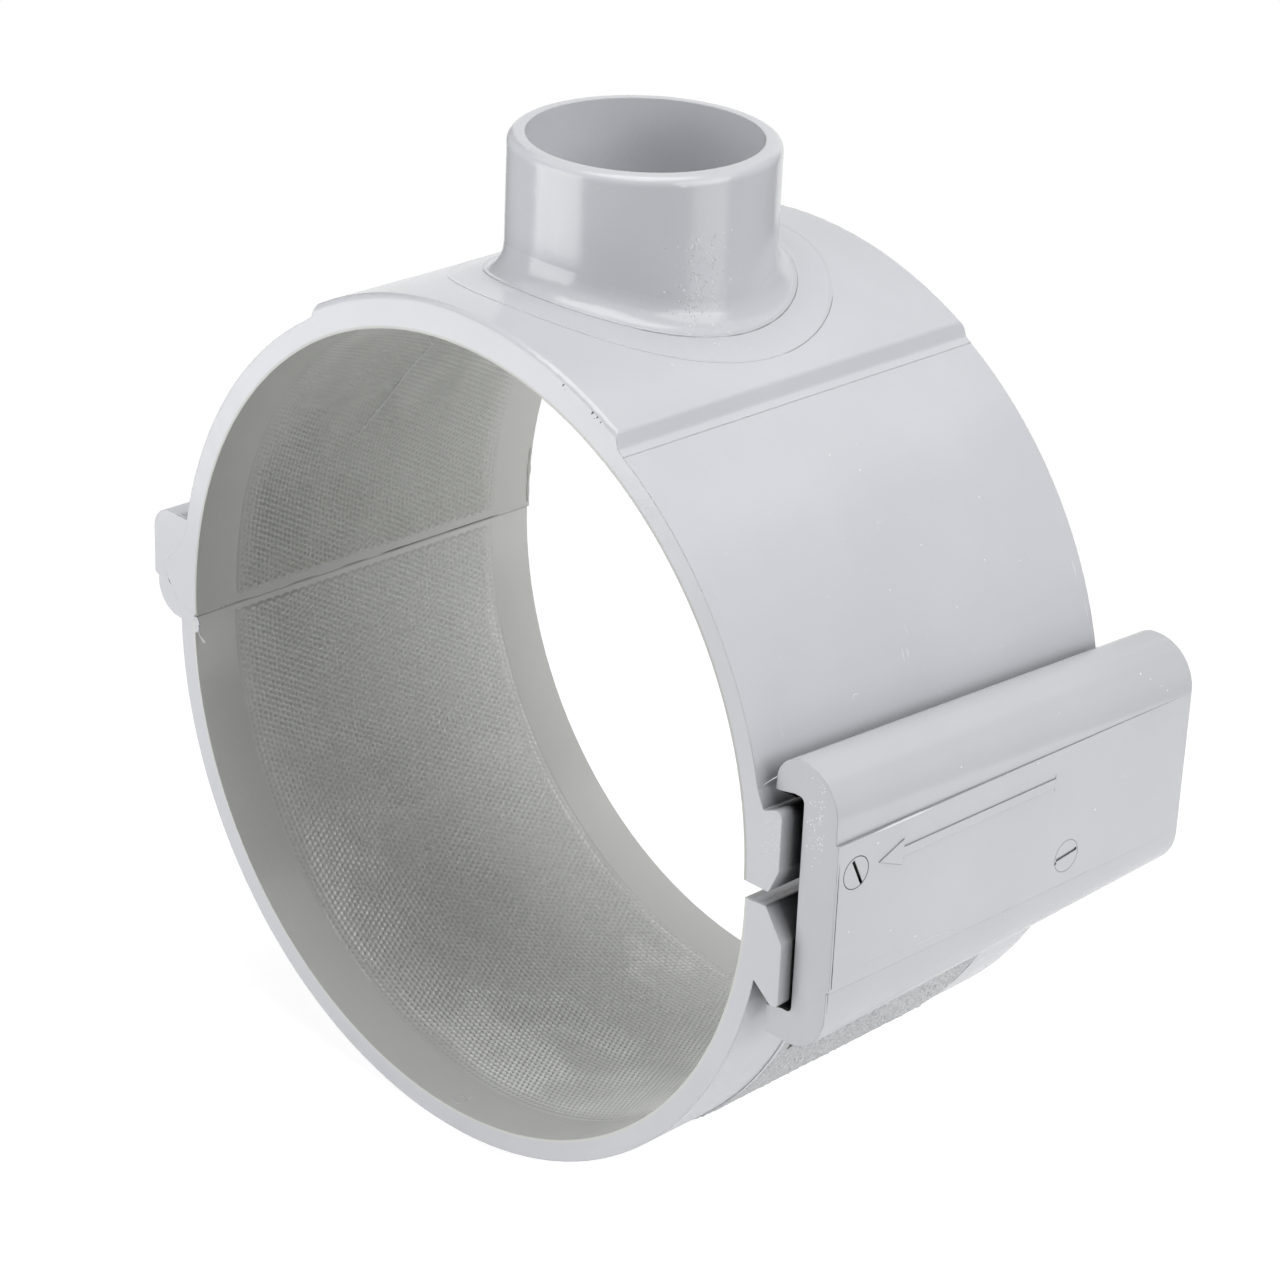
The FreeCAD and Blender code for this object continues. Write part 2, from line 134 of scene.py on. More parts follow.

# Moulded grey plastic. The painted highlight on edges starts and is full at two cosines of the edge's turn.
PLASTIC_ROUGHNESS = 0.17
PEBBLE_FEATURE = 0.9 * MM
PEBBLE_DEPTH = 0.035 * MM
WAVE_FEATURE = 9 * MM
WAVE_DEPTH = 0.10 * MM
WAVE_STRETCH = (1, 0.45, 1)
CLOUD_FEATURE = 34 * MM
CLOUD_RANGE = (0.35, 0.65)
CLOUD_SHADES = (0.975, 1.02)
FLECK_FEATURE = 1.3 * MM
FLECK_RANGE = (0.75, 0.81)
FLECK_STRENGTH = 0.20
EDGE_WIDTH = 0.35 * MM
EDGE_COSINES = (0.995, 0.90)
EDGE_PAINTED_HIGHLIGHT = 0.18
EDGE_SAMPLES = 4
BORE_BAND = 0.8 * MM
# Painted shade towards the front of the upper bore, where less light reaches it
FRONT_BAND_PAINTED_SHADE = 0.86
# Painted shade in the pits of the bore's net and a painted highlight on its ridges
PIT_PAINTED_SHADE = 0.90
RIDGE_PAINTED_HIGHLIGHT = 1.14

# Crevices at the wedge: how open a place is when it is darkest and when it is clear
CREVICE_REACH = 10 * MM
CREVICE_START = 86.5 * MM
CREVICE_FADE = 2 * MM
CREVICE_OPENNESS = (0.24, 0.66)
CREVICE_SHADE = 0.03
CREVICE_SAMPLES = 4

# Net of pits moulded into the bore
KNURL_PITCH = 1.418 * MM
KNURL_ROW = 1.19 * MM
KNURL_HALF_LENGTH = 38.2 * MM
KNURL_RIDGE = 0.45 * MM
KNURL_PIT = 0.02 * MM
KNURL_SINK = 0.05 * MM
KNURL_FADE = 7 * MM
KNURL_END_SHARE = 0.25
KNURL_WEAR = 0.5
KNURL_WEAR_SCALE = (0.05, 0.04)
UPPER_NET_ANGLES = (1.4, 182.4)
LOWER_NET_ANGLES = (180.9, 358.0)
HEXAGON = ((0, 2), (1, 1), (1, -1), (0, -2), (-1, -1), (-1, 1))

# How far most marks stand proud
MARK_RISE = 0.05 * MM


# Node materials

def node(tree, kind, inputs=(), **settings):
    """A new node with its settings, and with a value or a socket for each named input."""
    made = tree.nodes.new(kind)
    for name, value in settings.items():
        setattr(made, name, value)
    for name, value in dict(inputs).items():
        if isinstance(value, bpy.types.NodeSocket):
            tree.links.new(value, made.inputs[name])
        else:
            made.inputs[name].default_value = value
    return made


def math_node(tree, operation, first, second):
    return node(tree, "ShaderNodeMath", {0: first, 1: second}, operation=operation).outputs[0]


def spread(tree, value, low, high, to_low, to_high):
    """A value mapped from one range to another, and held at its ends."""
    inputs = {"From Min": low, "From Max": high, "To Min": to_low, "To Max": to_high, "Value": value}
    return node(tree, "ShaderNodeMapRange", inputs).outputs[0]


def noise_at(tree, place, feature, detail=2.0, stretch=(1, 1, 1)):
    """Noise whose features are about the given length across."""
    scaled = node(tree, "ShaderNodeMapping", {"Vector": place, "Scale": stretch})
    inputs = {"Vector": scaled.outputs[0], "Scale": 1 / feature, "Detail": detail}
    return node(tree, "ShaderNodeTexNoise", inputs).outputs["Fac"]


def mixed(tree, amount, first, second):
    """A colour between two colours."""
    mix = node(tree, "ShaderNodeMix", {"Factor": amount}, data_type="RGBA")
    for socket, value in ((mix.inputs[6], first), (mix.inputs[7], second)):
        if isinstance(value, bpy.types.NodeSocket):
            tree.links.new(value, socket)
        else:
            socket.default_value = (*value[:3], 1)
    return mix.outputs[2]


def scaled_tone(tree, tone, light):
    """A tone times a light."""
    return node(tree, "ShaderNodeVectorMath", {0: tone, "Scale": light}, operation="SCALE").outputs[0]


def bumped(tree, height, depth, normal=None):
    """The surface's direction with bumps of the given depth on it."""
    inputs = {"Height": height, "Distance": depth, "Strength": 1.0}
    if normal is not None:
        inputs["Normal"] = normal
    return node(tree, "ShaderNodeBump", inputs).outputs[0]


def shade(colour, factor):
    return tuple(part * factor for part in colour)


def new_material(name):
    material = bpy.data.materials.new(name)
    material.use_nodes = True
    material.node_tree.nodes.clear()
    return material, material.node_tree


def object_place(tree):
    return node(tree, "ShaderNodeTexCoord").outputs["Object"]


def finish_material(tree, surface):
    node(tree, "ShaderNodeOutputMaterial", {"Surface": surface})


def finish_gloss(tree, tone, roughness, normal):
    inputs = {"Base Color": tone, "Roughness": roughness, "Normal": normal}
    finish_material(tree, node(tree, "ShaderNodeBsdfPrincipled", inputs).outputs[0])


# Moulded grey plastic

def distance_from_axis(tree, place, height):
    """How far a point is from a line along Y at a height."""
    parts = node(tree, "ShaderNodeSeparateXYZ", {"Vector": place})
    raised = math_node(tree, "SUBTRACT", parts.outputs["Z"], height)
    flat = node(tree, "ShaderNodeCombineXYZ", {"X": parts.outputs["X"], "Y": raised})
    return node(tree, "ShaderNodeVectorMath", {0: flat.outputs[0]}, operation="LENGTH").outputs["Value"]


def cloudy(tree, place, colour):
    clouds = noise_at(tree, place, CLOUD_FEATURE, 3)
    dark, light = CLOUD_SHADES
    return mixed(tree, spread(tree, clouds, *CLOUD_RANGE, 0, 1), shade(colour, dark), shade(colour, light))


def bore_tone(tree, place, colour, front_painted_shade):
    """The bore's colour, with painted shade towards the front beyond the net."""
    along_pipe = node(tree, "ShaderNodeSeparateXYZ", {"Vector": place}).outputs["Y"]
    to_front = spread(tree, along_pipe, -KNURL_HALF_LENGTH, FRONT_Y, 0, 1)
    return mixed(tree, to_front, colour, shade(colour, front_painted_shade))


def on_ridges(tree, place, tone, radius, height):
    """The net's tone, with painted shade in its pits and a painted highlight on its ridges."""
    from_axis = distance_from_axis(tree, place, height)
    to_ridge = spread(tree, from_axis, radius, radius - KNURL_RIDGE, 0, 1)
    return scaled_tone(tree, tone, spread(tree, to_ridge, 0, 1, PIT_PAINTED_SHADE, RIDGE_PAINTED_HIGHLIGHT))


def on_highlit_edges(tree, tone, rounded, edge_highlight):
    """The tone, with a painted highlight where the rounded edges turn away from the true surface."""
    true_normal = node(tree, "ShaderNodeNewGeometry").outputs["Normal"]
    turned_away = node(tree, "ShaderNodeVectorMath", {0: rounded, 1: true_normal}, operation="DOT_PRODUCT")
    amount = spread(tree, turned_away.outputs["Value"], *EDGE_COSINES, 0, edge_highlight)
    return mixed(tree, amount, tone, LIGHT_MARK_COLOUR)


def in_crevices(tree, tone, place):
    """The tone, nearly black where the narrow gaps at the wedge keep the light out."""
    openness = node(tree, "ShaderNodeAmbientOcclusion", {"Distance": CREVICE_REACH},
                    samples=CREVICE_SAMPLES)
    light = spread(tree, openness.outputs["AO"], *CREVICE_OPENNESS, CREVICE_SHADE, 1)
    across = node(tree, "ShaderNodeSeparateXYZ", {"Vector": place}).outputs["X"]
    at_wedge = spread(tree, across, CREVICE_START, CREVICE_START + CREVICE_FADE, 0, 1)
    return mixed(tree, at_wedge, tone, scaled_tone(tree, tone, light))


def moulded_plastic(name, colour, bore=None, net=None, pebble=1.0, bevel=True):
    """Grey plastic, cloudy, flecked and finely pebbled.

    Bore is the radius, height, colour and painted front shade of a bore in the piece. Net is the radius and
    height of the bore that the net lies on. With bevel the edges are round with a painted highlight, and
    the crevices at the wedge get painted shade.
    """
    material, tree = new_material(name)
    place = object_place(tree)
    tone = cloudy(tree, place, colour)
    edge_highlight = EDGE_PAINTED_HIGHLIGHT
    if bore:
        radius, height, bore_colour, front_painted_shade = bore
        from_axis = distance_from_axis(tree, place, height)
        in_bore = spread(tree, from_axis, radius + BORE_BAND, radius + BORE_BAND / 2, 0, 1)
        tone = mixed(tree, in_bore, tone, bore_tone(tree, place, bore_colour, front_painted_shade))
        edge_highlight = spread(tree, in_bore, 0, 0.5, EDGE_PAINTED_HIGHLIGHT, 0)
    if net:
        tone = on_ridges(tree, place, tone, *net)
    flecks = noise_at(tree, place, FLECK_FEATURE, 1)
    tone = mixed(tree, spread(tree, flecks, *FLECK_RANGE, 0, FLECK_STRENGTH), tone, LIGHT_MARK_COLOUR)
    rounded = None
    if bevel:
        # Painted highlight on the edges, and painted shade in the crevices at the wedge
        rounded = node(tree, "ShaderNodeBevel", {"Radius": EDGE_WIDTH}, samples=EDGE_SAMPLES).outputs[0]
        tone = on_highlit_edges(tree, tone, rounded, edge_highlight)
        tone = in_crevices(tree, tone, place)
    pebbles = bumped(tree, noise_at(tree, place, PEBBLE_FEATURE, 3), PEBBLE_DEPTH * pebble, rounded)
    waves = bumped(tree, noise_at(tree, place, WAVE_FEATURE, 2, WAVE_STRETCH), WAVE_DEPTH, pebbles)
    finish_gloss(tree, tone, PLASTIC_ROUGHNESS, waves)
    return material


def grainy_material(name, colour, roughness, feature, detail, depth, shades):
    """One tone with fine grain, between a dark and a light share of it."""
    material, tree = new_material(name)
    grain = noise_at(tree, object_place(tree), feature, detail)
    dark, light = shades
    tone = mixed(tree, grain, shade(colour, dark), shade(colour, light))
    finish_gloss(tree, tone, roughness, bumped(tree, grain, depth))
    return material


def mark_material(name, colour, roughness):
    """Plastic of one tone for a small mark."""
    return grainy_material(name, colour, roughness, feature=0.6 * MM, detail=2, depth=0.02 * MM,
                           shades=(0.85, 1.12))


def rubber():
    return grainy_material("seal_rubber", RUBBER_COLOUR, 0.55, feature=0.8 * MM, detail=3,
                           depth=0.03 * MM, shades=(0.7, 1.6))


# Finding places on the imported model. Each gives the place and the outward normal.

depsgraph = bpy.context.evaluated_depsgraph_get()
trees = {name: BVHTree.FromObject(frame["nodes"][name], depsgraph)
         for name in ("upper_saddle", "lower_saddle", "locking_wedge")}


def hit(name, start, toward):
    """Where a ray meets a node."""
    place, normal, _, _ = trees[name].ray_cast(Vector(start), Vector(toward).normalized())
    return place, normal


def spoke(angle):
    turn = math.radians(angle)
    return Vector((math.cos(turn), 0, math.sin(turn)))


def inside(name, angle, y, height=0.0):
    return hit(name, (0, y, height), spoke(angle))


def outside(name, angle, y, height=0.0):
    return hit(name, spoke(angle) * FAR + Vector((0, y, height)), -spoke(angle))


def from_top(x, y):
    return hit("upper_saddle", (x, y, FAR), (0, 0, -1))


def from_front(name, x, z):
    return hit(name, (x, -FAR, z), (0, 1, 0))


def from_right(y, z):
    return hit("locking_wedge", (FAR, y, z), (-1, 0, 0))


def trail_on(where, name, places, height=0.0, lift=0.0):
    """Places on a node from pairs of an angle and a y in millimetres, lifted off its surface."""
    trail = []
    for angle, y in places:
        place, normal = where(name, angle, y * MM, height)
        trail.append((place + normal * lift, normal))
    return trail


def in_upper_bore(places, lift=0.0):
    return trail_on(inside, "upper_saddle", places, 0.0, lift)


def in_lower_bore(places, lift=0.0):
    return trail_on(inside, "lower_saddle", places, LOWER_BORE_Z, lift)


def on_upper_shell(places):
    return trail_on(outside, "upper_saddle", places)


def on_lower_shell(places, lift=0.0):
    return trail_on(outside, "lower_saddle", places, LOWER_BORE_Z, lift)


def on_wedge_face(places):
    """Places on the wedge's outer face from pairs of y and z in millimetres."""
    return [from_right(y * MM, z * MM) for y, z in places]


def facing(places, normal):
    """Places given in millimetres, all with one normal."""
    return [(Vector(place) * MM, Vector(normal)) for place in places]


# Making pieces

def mesh_object(name, points, faces):
    mesh = bpy.data.meshes.new(name)
    mesh.from_pydata(points, [], faces)
    mesh.update()
    piece = bpy.data.objects.new(name, mesh)
    bpy.context.scene.collection.objects.link(piece)
    return piece


def add_piece(name, points, faces, body, material, smooth=False):
    """A piece of the object, riding on a body."""
    piece = mesh_object(name, points, faces)
    piece.data.materials.append(material)
    for face in piece.data.polygons:
        face.use_smooth = smooth
    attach(piece, body)
    return piece


# Cross-sections of raised lines: places across the line, as shares of its width, and heights,
# as shares of its height. A share below zero is under the surface.
ROUND_SECTION = ((-0.5, -0.6), (-0.2, 1), (0.2, 1), (0.5, -0.6))
STEP_SECTION = ((-1, -0.6), (-0.1, 1), (0, 0.8), (0, -0.6))
LINE_END_SHARE = 0.15


def raised_line(name, trail, body, material, width, height=MARK_RISE, section=ROUND_SECTION,
                closed=False, waver=0):
    """A narrow raised line along places and normals, lower and narrower at its open ends."""
    chance = random.Random(name)
    count = len(trail)
    points = []
    for i, (place, normal) in enumerate(trail):
        ahead = trail[(i + 1) % count][0] if closed or i < count - 1 else place
        behind = trail[i - 1][0] if closed or i > 0 else place
        across = (ahead - behind).cross(normal).normalized()
        full = 1 if closed or 0 < i < count - 1 else LINE_END_SHARE
        full *= 1 + waver * chance.uniform(-1, 1)
        for side, rise in section:
            points.append(place + across * side * width * full + normal * rise * height * full)
    wide = len(section)
    spans = count if closed else count - 1
    faces = []
    for i in range(spans):
        for k in range(wide - 1):
            a = i * wide + k
            b = (i + 1) % count * wide + k
            faces.append((a, b, b + 1, a + 1))
    return add_piece(name, points, faces, body, material, smooth=section is ROUND_SECTION)


DOME_SIDES = 6
DOME_REACH = (0.75, 1.25)
DOME_SINK = 0.5


def domes(name, spots, body, material):
    """Small low bumps. Each spot is a place, a normal, a radius, a height and a length ratio."""
    chance = random.Random(name)
    points = []
    faces = []
    for place, normal, radius, height, ratio in spots:
        along = normal.orthogonal().normalized()
        across = normal.cross(along)
        turn = chance.uniform(0, 2 * math.pi)
        first = len(points)
        points.append(place + normal * height)
        for k in range(DOME_SIDES):
            angle = turn + k * 2 * math.pi / DOME_SIDES
            reach = radius * chance.uniform(*DOME_REACH)
            flat = along * math.cos(angle) * reach + across * math.sin(angle) * reach * ratio
            points.append(place + flat - normal * height * DOME_SINK)
        for k in range(DOME_SIDES):
            faces.append((first, first + 1 + k, first + 1 + (k + 1) % DOME_SIDES))
    return add_piece(name, points, faces, body, material, smooth=True)


WHISKER_SIDES = 5
WHISKER_THINNING = 0.6


def whisker(name, places, radius, body, material):
    """A thin curl of flash through places in millimetres: a tube that thins to its tip."""
    path = [Vector(place) * MM for place in places]
    last = len(path) - 1
    points = []
    for i, place in enumerate(path):
        ahead = path[min(i + 1, last)]
        behind = path[max(i - 1, 0)]
        along = (ahead - behind).normalized()
        across = along.orthogonal().normalized()
        up = along.cross(across)
        thick = radius * (1 - WHISKER_THINNING * i / last)
        for k in range(WHISKER_SIDES):
            angle = 2 * math.pi * k / WHISKER_SIDES
            points.append(place + across * math.cos(angle) * thick + up * math.sin(angle) * thick)
    faces = []
    for i in range(last):
        for k in range(WHISKER_SIDES):
            a = i * WHISKER_SIDES + k
            b = i * WHISKER_SIDES + (k + 1) % WHISKER_SIDES
            faces.append((a, b, b + WHISKER_SIDES, a + WHISKER_SIDES))
    faces.append(tuple(range(WHISKER_SIDES)))
    add_piece(name, points, faces, body, material, smooth=True)


# The bore's net of pits

def net_wear(corner, radius):
    """How high a ridge stands: it is worn in patches, and fades towards both ends of the net."""
    column, third = corner
    across, along = KNURL_WEAR_SCALE
    worn_and_glint = 1 + KNURL_WEAR * noise.noise(Vector((column * across, third * along, radius)))
    to_end = KNURL_HALF_LENGTH - abs(third) * KNURL_ROW / 3
    return worn_and_glint * min(1, KNURL_END_SHARE + to_end / KNURL_FADE)


def knurl(name, height, radius, start, end, clear):
    """Shallow hexagonal pits in a net of ridges, whose rim sinks into the bore's wall.

    A corner of the net is known by its column of half pitches and its row in thirds.
    """
    half_pitch = math.degrees(KNURL_PITCH / 2 / radius)
    rows = int(KNURL_HALF_LENGTH / KNURL_ROW)
    columns = int((end - start) / half_pitch)
    cells = []
    for row in range(-rows, rows + 1):
        for column in range(1 + row % 2, columns, 2):
            if clear(start + column * half_pitch, row * KNURL_ROW):
                cells.append((column, 3 * row))
    uses = Counter((column + dx, third + dy) for column, third in cells for dx, dy in HEXAGON)
    points = []
    index = {}

    def point(column, third, rise):
        key = (column, third)
        if key not in index:
            angle = start + column * half_pitch
            place, _ = inside(name, angle, third * KNURL_ROW / 3, height)
            index[key] = len(points)
            points.append(place - spoke(angle) * rise)
        return index[key]

    faces = []
    for column, third in cells:
        centre = point(column, third, KNURL_PIT)
        ring = []
        for dx, dy in HEXAGON:
            corner = (column + dx, third + dy)
            rise = KNURL_RIDGE * net_wear(corner, radius) if uses[corner] == 3 else -KNURL_SINK
            ring.append(point(*corner, rise))
        faces += [(centre, ring[(k + 1) % 6], ring[k]) for k in range(6)]
    return points, faces


def add_knurls(upper_material, lower_material):
    seal_clearance = SEAL_RADIUS + KNURL_PITCH

    def clear_of_tap_hole(angle, y):
        return math.hypot(BORE_RADIUS * math.cos(math.radians(angle)), y - OUTLET_Y) > seal_clearance

    points, faces = knurl("upper_saddle", 0, BORE_RADIUS, *UPPER_NET_ANGLES, clear_of_tap_hole)
    add_piece("knurl_upper", points, faces, "upper_half", upper_material)
    points, faces = knurl("lower_saddle", LOWER_BORE_Z, LOWER_BORE_RADIUS, *LOWER_NET_ANGLES,
                          lambda angle, y: True)
    add_piece("knurl_lower", points, faces, "lower_half", lower_material)


# Marks on the upper half

INNER_CIRCLE = 32.0 * MM
OUTER_CIRCLE = 39.3 * MM
CIRCLE_SHADOW_OFFSET = 0.12 * MM


def arc_on_pad(radius, start, end, count, closed=False):
    """Places on the pad along a circle round the outlet, in steps from one angle to another."""
    trail = []
    for i in range(count if closed else count + 1):
        angle = math.radians(start + (end - start) * i / count)
        trail.append(from_top(radius * math.cos(angle), OUTLET_Y + radius * math.sin(angle)))
    return trail


def add_parting_circles(shell, shadow):
    """Steps that the mould's round insert left round the outlet, with painted shadow along parts of them.
    """
    for name, radius, count, width, height in (("parting_circle_inner", INNER_CIRCLE, 120, 1.4, 0.20),
                                               ("parting_circle_outer", OUTER_CIRCLE, 144, 1.0, 0.12)):
        raised_line(name, arc_on_pad(radius, 0, 360, count, closed=True), "upper_half", shell,
                    width * MM, height * MM, section=STEP_SECTION, closed=True)
    # Painted shadow lines along the steps' shaded sides
    for name, radius, start, end, width in (("circle_dirt_right", INNER_CIRCLE, -12, 66, 0.26),
                                            ("circle_dirt_left", INNER_CIRCLE, -46, -21, 0.20),
                                            ("circle_dirt_outer", OUTER_CIRCLE, 3, 42, 0.20)):
        count = int((end - start) / 3)
        raised_line(name, arc_on_pad(radius + CIRCLE_SHADOW_OFFSET, start, end, count), "upper_half",
                    shadow, width * MM, waver=0.35)


def on_outlet(turn, z):
    """A place on the outlet's side, by its turn from the camera's direction."""
    angle = math.radians(CAMERA_AZIMUTH - 90 + turn)
    outward = Vector((math.cos(angle), math.sin(angle), 0))
    return hit("upper_saddle", outward * FAR + Vector((0, OUTLET_Y, z)), -outward)


# Orange peel on the outlet: count of pebbles, middle and spread of their turn, lowest place and rise
PEEL_COUNT = 300
PEEL_TURN = (26, 7.5)
PEEL_BOTTOM = 84 * MM
PEEL_RISE = 22 * MM
PEEL_CROWDING = 1.2


def add_outlet_pebbles(shell, worn_and_glint):
    """A patch of orange peel on the outlet's side and foot, as in the photograph."""
    chance = random.Random("outlet_pebbles")
    spots = []
    for _ in range(PEEL_COUNT):
        turn = chance.gauss(*PEEL_TURN)
        z = PEEL_BOTTOM + PEEL_RISE * chance.random() ** PEEL_CROWDING
        place, normal = on_outlet(turn, z)
        if place is None:
            continue
        radius = chance.uniform(0.25, 0.60) * MM
        spots.append((place, normal, radius, radius * 0.40, chance.choice((0.45, 0.7, 1.0))))
    # A third of the pebbles are paler, as painted glints
    glint_count = len(spots) // 3
    domes("outlet_pebbles", spots[glint_count:], "upper_half", shell)
    domes("outlet_pebbles_worn", spots[:glint_count], "upper_half", worn_and_glint)


# Pebbled patches on the outer surface: middle angle and y, their spreads, and the count of pebbles
SHELL_PATCHES = ((54, -12, 3.5, 10, 240),
                 (47, -3, 4, 8, 90),
                 (27, -34, 6, 4, 120),
                 (38, -24, 6, 8, 60),
                 (72, -30, 3, 8, 120))
REAR_MARGIN = 1 * MM


def add_shell_pebbles(shell):
    """Fine pebbles where the mould had been roughened, near the front of the outer surface."""
    chance = random.Random("shell_pebbles")
    spots = []
    for angle, y, angle_spread, y_spread, count in SHELL_PATCHES:
        for _ in range(count):
            place, normal = outside("upper_saddle", chance.gauss(angle, angle_spread),
                                    chance.gauss(y, y_spread) * MM)
            if place is None or abs(place.y) > REAR_Y - REAR_MARGIN:
                continue
            radius = chance.uniform(0.15, 0.34) * MM
            spots.append((place, normal, radius, radius * 0.24, 1.0))
    domes("shell_pebbles", spots, "upper_half", shell)


# How far behind a front face a place may be and still lie on it
FACE_MARGIN = 0.1 * MM

# Rippled patch on the upper lug's front face: its left, right, bottom and top
RIPPLE_PATCH = (88.2 * MM, 93.0 * MM, 6.8 * MM, 17.4 * MM)
RIPPLE_COUNT = 110


def add_lug_ripples(worn_and_glint):
    """Fine ripples on the upper lug's front face, paler as painted highlights on them."""
    left, right, bottom, top = RIPPLE_PATCH
    chance = random.Random("lug_ripples")
    spots = []
    for _ in range(RIPPLE_COUNT):
        place, normal = from_front("upper_saddle", chance.uniform(left, right), chance.uniform(bottom, top))
        if place is None or place.y > FRONT_Y + FACE_MARGIN:
            continue
        radius = chance.uniform(0.16, 0.30) * MM
        spots.append((place, normal, radius, min(radius * 0.2, MARK_RISE), chance.choice((0.4, 0.7))))
    domes("lug_ripples", spots, "upper_half", worn_and_glint)


# Nicks on the outer surface: angles and y in millimetres along each, and its width in millimetres
NICKS = {
    "nick_pair_left": ([(23.7, -5.4), (22.7, -5.5), (21.9, -5.4)], 0.30),
    "nick_pair_right": ([(23.5, -4.2), (22.8, -4.1), (22.1, -4.3)], 0.26),
    "nick_curved": ([(19.8, -21.2), (20.4, -20.7), (20.4, -19.9), (20.0, -19.5)], 0.20),
    "nick_low": ([(18.6, -6.3), (19.1, -5.8)], 0.26),
    "nick_middle": ([(39.6, -1.0), (39.7, 0.6)], 0.16),
    "nick_rear": ([(20.6, 14.0), (19.3, 14.3)], 0.18),
    "nick_edge_high": ([(26.6, 47.0), (24.8, 47.2), (23.2, 47.1)], 0.24),
    "nick_edge_low": ([(20.5, 48.0), (19.0, 48.2), (17.5, 48.1)], 0.20),
    "nick_front": ([(21.5, -40.5), (19.2, -40.9)], 0.18),
    "nick_long": ([(28.0, -4.0), (25.6, -3.0), (22.5, -1.6)], 0.10),
}
UPPER_SPECKS = ((39.4, -0.5), (38.1, 28), (39.2, -10.7), (31, -4.1), (28.6, 32.6), (30.3, 23.2),
                (46.6, 1.7), (49.8, -3.3), (35, 8), (26, 12), (33, -20), (43, 20))


def add_upper_nicks(light):
    """Small bright nicks and specks on the outer surface, at the places that the photograph shows."""
    for name, (places, width) in NICKS.items():
        raised_line(name, on_upper_shell(places), "upper_half", light, width * MM, waver=0.2)
    chance = random.Random("specks")
    spots = [(place, normal, chance.uniform(0.18, 0.32) * MM, MARK_RISE, 1.0)
             for place, normal in on_upper_shell(UPPER_SPECKS)]
    domes("specks_upper", spots, "upper_half", light)


# Pits in the pad's front face: x, z and radius in millimetres
FRONT_PITS = ((29.7, 85.3, 0.35), (30.3, 84.6, 0.22), (37.9, 82.2, 0.38), (39.2, 81.6, 0.30),
              (40.3, 81.0, 0.26), (38.6, 81.3, 0.2))


def add_front_pits(dark):
    spots = []
    for x, z, radius in FRONT_PITS:
        place, normal = from_front("upper_saddle", x * MM, z * MM)
        spots.append((place, normal, radius * MM, 0.03 * MM, 0.7))
    domes("front_pits", spots, "upper_half", dark)


# Marks where the two halves meet. Dark lines in the seam have a first y, last y and width, and dark
# spots an angle, y and radius, all in millimetres but the angle.
SEAM_ANGLE = 182.85
SEAM_LINES = {
    "seam_dark_rear": (40, 3, 0.30),
    "seam_dark_middle": (0, -9, 0.16),
    "seam_dark_front": (-15, -24, 0.14),
    "seam_dark_edge": (-33, -41, 0.14),
}
SEAM_SPOTS = ((SEAM_ANGLE, -42.5, 0.32), (SEAM_ANGLE, -41.3, 0.42), (SEAM_ANGLE, -27.1, 0.30),
              (182.4, -26.0, 0.20), (182.3, -12.0, 0.18))
BURR_START = 172.5
BURR_STEP = 0.9
BURR_COUNT = 12
BURR_INSET = 0.6 * MM
BORE_STREAK = ((138.5, -1.8), (140.7, 1.0), (146.0, -1.0), (151.3, -2.6), (156.0, -6.0), (159.5, -8.8))


def add_rear_burr(shell):
    """The burr on the bore's rear edge, above the seam."""
    angles = [BURR_START + i * BURR_STEP for i in range(BURR_COUNT)]
    edge = [inside("upper_saddle", angle, REAR_Y - BURR_INSET) for angle in angles]
    raised_line("burr_rear", edge, "upper_half", shell, width=0.8 * MM, height=0.45 * MM, waver=0.45)


def add_seam(dark):
    """The seam, dark in stretches as painted shadow in its gap, with dark spots along it."""
    for name, (start, end, width) in SEAM_LINES.items():
        count = 2 + (start - end) // 3
        seam = in_upper_bore([(SEAM_ANGLE, start + (end - start) * i / (count - 1)) for i in range(count)])
        raised_line(name, seam, "upper_half", dark, width * MM, waver=0.3)
    spots = []
    for angle, y, radius in SEAM_SPOTS:
        place, normal = inside("upper_saddle", angle, y * MM)
        spots.append((place, normal, radius * MM, MARK_RISE, 0.45))
    domes("seam_spots", spots, "upper_half", dark)


def add_bore_streak(light):
    """A pale streak over the ridges of the upper bore's net."""
    raised_line("streak_bore", in_upper_bore(BORE_STREAK, KNURL_RIDGE), "upper_half", light,
                width=0.35 * MM, waver=0.3)


# Marks on the lower half, in millimetres. Whiskers have their places and radius.
LOWER_WHISKERS = {
    "whisker_front": (((-84.6, -48.9, -7.0), (-83.9, -49.0, -8.1), (-82.9, -49.05, -9.2),
                       (-81.8, -49.0, -10.1)), 0.26),
    "whisker_second": (((-84.5, -48.9, -7.5), (-83.5, -49.0, -8.9), (-82.5, -48.9, -10.4)), 0.20),
}
LOWER_SPECKS = ((207.3, 10.1), (208.4, 11.6), (209.5, 12.9), (208.3, 18.8), (210.4, 22.2), (209.5, 16.0),
                (207.9, 14.0), (209.9, 19.6), (211.0, 13.6), (206.9, 20.8), (208.8, 24.0), (210.6, 9.0))
LOWER_SCRATCH = ((211.0, 15.0), (212.5, 16.4), (214.2, 17.0))
EJECTOR_ANGLE = 270.9
EJECTOR_Y = -46.0
EJECTOR_RADIUS = 1.45
EJECTOR_CORNERS = 24
EJECTOR_TICK = ((271.6, -44.6), (271.6, -43.6), (271.6, -42.8))


def add_whiskers(light):
    """Curls of flash at the ring's front, below the seam."""
    for name, (places, radius) in LOWER_WHISKERS.items():
        whisker(name, places, radius * MM, "lower_half", light)


def add_lower_specks(light):
    """Bright specks on the ridges of the lower bore's net."""
    chance = random.Random("bore_specks")
    spots = [(place, normal, chance.uniform(0.3, 0.6) * MM, 0.12 * MM, 0.6)
             for place, normal in in_lower_bore(LOWER_SPECKS, KNURL_RIDGE)]
    domes("specks_lower", spots, "lower_half", light)


